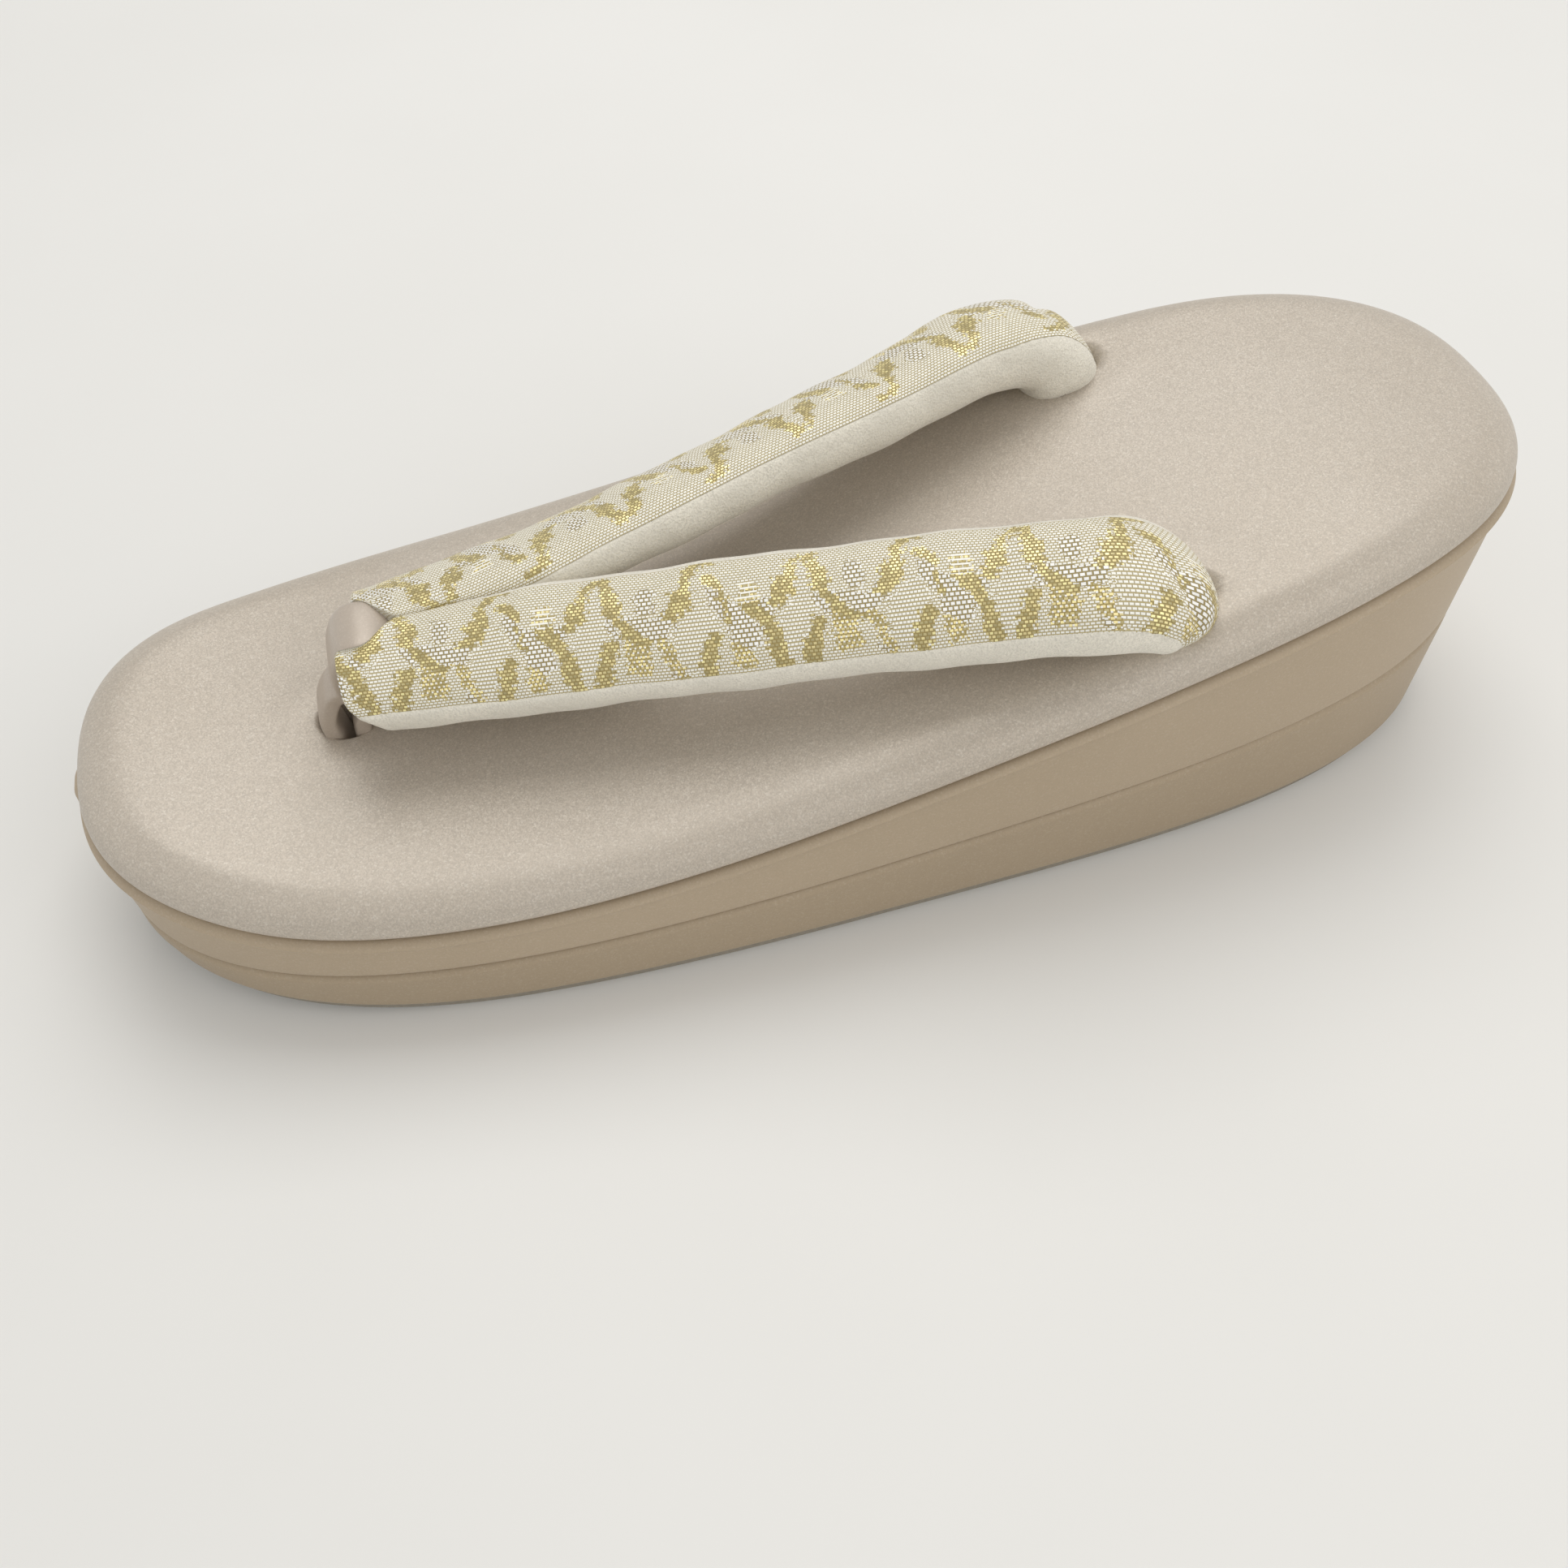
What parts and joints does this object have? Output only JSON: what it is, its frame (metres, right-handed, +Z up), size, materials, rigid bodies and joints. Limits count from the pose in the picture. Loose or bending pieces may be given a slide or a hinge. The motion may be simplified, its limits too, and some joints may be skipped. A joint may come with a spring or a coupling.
{
  "type": "zori sandal",
  "caption": "Wedge zori sandal: padded oval top on stacked leather-wrapped sole layers, a brocade V strap lined with velvet, and a leather toe loop.",
  "frame": {"origin": "on the floor under the middle of the sandal, midway between toe and heel and between the two sides", "axes": "+Y towards the heel and -Y towards the toe, +X across to one side, +Z up from the floor"},
  "size_m": [0.0904, 0.2414, 0.0616],
  "materials": {
    "outsole": "matte greyish beige sheet",
    "side_leather": "smooth satin beige, faint pearl",
    "top_leather": "pearl champagne with fine sparkle, satin",
    "loop_leather": "smooth satin, mauve-grey beige",
    "brocade": "silver-white brocade weave with gold thread",
    "velvet": "ivory velvet, matte nap"
  },
  "bodies": {
    "root": {"outsole": "outsole", "lower_layer": "side_leather", "upper_layer": "side_leather", "top_pad": "top_leather", "front_loop": "loop_leather", "strap_cover": "brocade", "strap_lining": "velvet"}
  },
  "joints": []
}
